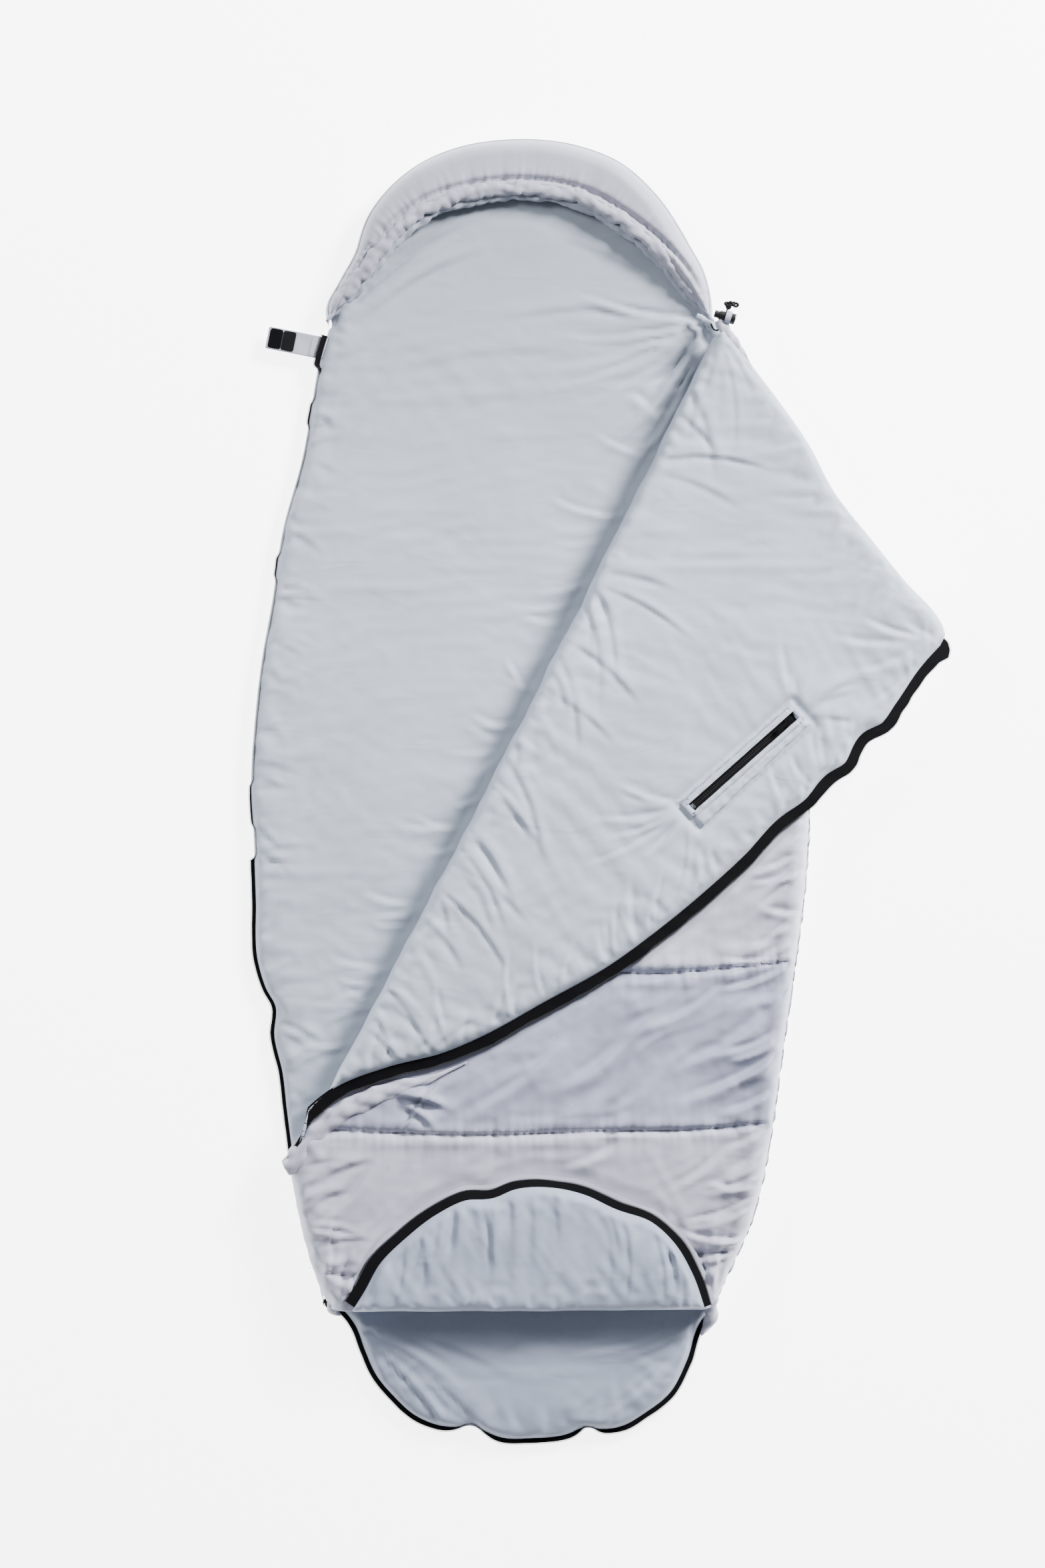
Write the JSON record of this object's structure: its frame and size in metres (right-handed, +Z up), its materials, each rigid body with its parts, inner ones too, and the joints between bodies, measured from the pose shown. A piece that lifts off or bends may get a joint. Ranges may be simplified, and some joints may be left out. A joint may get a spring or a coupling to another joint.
{
  "type": "mummy sleeping bag",
  "caption": "Opened mummy sleeping bag: quilted back, front folded back on a diagonal, unzipped foot flap, rimmed hood, two-way side zip, hand slit, cord lock and closure tab.",
  "frame": {"origin": "on the flat underside, in the middle of the bag, halfway between its head and foot ends", "axes": "+Y towards the hood, +X towards the side that the front is folded back to, +Z up from the floor"},
  "size_m": [1.14, 2.1103, 0.098],
  "materials": {
    "shell_fabric": "satin",
    "lining_fabric": "satin",
    "batting": "matte",
    "zip_tape": "matte",
    "zip_coil": "satin",
    "slider_metal": "gloss",
    "staple_metal": "satin",
    "spring_steel": "satin",
    "hook_tape": "satin",
    "loop_tape": "matte",
    "drawcord": "matte",
    "lock_plastic": "satin"
  },
  "bodies": {
    "bag": {"back_shell": "shell_fabric", "back_batting": "batting", "back_lining": "lining_fabric", "right_side_wall": "shell_fabric", "front_shell_shoulder": "shell_fabric", "front_shell_middle": "shell_fabric", "front_shell_lower": "shell_fabric", "front_shell_foot": "shell_fabric", "front_batting": "batting", "front_lining": "lining_fabric", "back_zip_tape": "zip_tape", "back_zip_coil": "zip_coil", "front_zip_tape": "zip_tape", "front_zip_coil": "zip_coil", "tab_anchor": "shell_fabric", "cord_lock_barrel": "lock_plastic", "cord_lock_spring": "spring_steel", "cord_lock_loop": "shell_fabric", "drawcord_tail": "drawcord", "drawcord_knot": "drawcord"},
    "hood": {"hood_back_shell": "shell_fabric", "hood_back_batting": "batting", "hood_back_lining": "lining_fabric", "hood_side_wall": "shell_fabric", "hood_rim_shell": "shell_fabric", "hood_rim_batting": "batting", "hood_rim_lining": "lining_fabric", "drawcord_channel": "shell_fabric", "hood_drawcord": "drawcord"},
    "front_flap": {"flap_shell": "shell_fabric", "flap_batting": "batting", "flap_lining": "lining_fabric", "flap_neck_binding": "shell_fabric", "flap_zip_tape": "zip_tape", "flap_zip_coil": "zip_coil", "flap_tab_patch": "loop_tape", "slit_facing": "lining_fabric", "slit_welts": "lining_fabric", "slit_zip_tapes": "zip_tape", "slit_zip_coils": "zip_coil", "slit_end_stops": "staple_metal"},
    "foot_flap": {"foot_flap_shell": "shell_fabric", "foot_flap_batting": "batting", "foot_flap_lining": "lining_fabric", "foot_flap_zip_tape": "zip_tape", "foot_flap_zip_coil": "zip_coil"},
    "zip_tab": {"tab_fabric": "shell_fabric", "tab_hook_strip": "hook_tape", "tab_loop_strip": "loop_tape"},
    "lock_button": {"cord_lock_button": "lock_plastic"},
    "upper_slider": {"upper_slider_body": "slider_metal"},
    "upper_pull": {"upper_slider_pull": "slider_metal"},
    "lower_slider": {"lower_slider_body": "slider_metal"},
    "lower_pull": {"lower_slider_pull": "slider_metal"},
    "slit_slider": {"slit_slider_body": "slider_metal"},
    "slit_pull": {"slit_slider_pull": "slider_metal"}
  },
  "joints": [
    {"name": "hood_lift", "type": "hinge", "parent": "bag", "child": "hood", "pos_m": [0, 0.752, 0.054], "axis": [1, 0, 0], "range_deg": [0, 20]},
    {"name": "flap_fold", "type": "hinge", "parent": "bag", "child": "front_flap", "pos_m": [0.304, 0.738, 0.0663], "axis": [-0.456, -0.89, 0], "range_deg": [0, 180]},
    {"name": "foot_fold", "type": "hinge", "parent": "bag", "child": "foot_flap", "pos_m": [0, -0.838, 0.0663], "axis": [1, 0, 0], "range_deg": [0, 180]},
    {"name": "tab_fold", "type": "hinge", "parent": "bag", "child": "zip_tab", "pos_m": [-0.352, 0.725, 0.0444], "axis": [0.199, 0.98, 0], "range_deg": [0, 180]},
    {"name": "lock_button_press", "type": "slide", "parent": "bag", "child": "lock_button", "axis": [0.957, -0.29, 0], "range_m": [0, 0.004], "stiffness_N_per_m": 400, "springref_m": -0.002},
    {"name": "upper_slider_slide", "type": "slide", "parent": "bag", "child": "upper_slider", "axis": [0.2473, -0.9689, 0], "range_m": [0, 0.095]},
    {"name": "lower_slider_slide", "type": "slide", "parent": "bag", "child": "lower_slider", "axis": [-0.2473, 0.9689, 0], "range_m": [0, 0.07]},
    {"name": "slit_slider_slide", "type": "slide", "parent": "front_flap", "child": "slit_slider", "axis": [-0.7474, -0.6644, 0], "range_m": [0, 0.185]},
    {"name": "upper_pull_swing", "type": "hinge", "parent": "upper_slider", "child": "upper_pull", "pos_m": [-0.38446, -0.60969, 0.033], "axis": [0, 0, -1], "range_deg": [0, 170]},
    {"name": "lower_pull_swing", "type": "hinge", "parent": "lower_slider", "child": "lower_pull", "pos_m": [-0.32816, -0.83028, 0.033], "axis": [0, 0, 1], "range_deg": [0, 170]},
    {"name": "slit_pull_swing", "type": "hinge", "parent": "slit_slider", "child": "slit_pull", "pos_m": [0.4209, 0.11369, 0.096], "axis": [-0.6644, 0.7474, 0], "range_deg": [0, 180]}
  ]
}
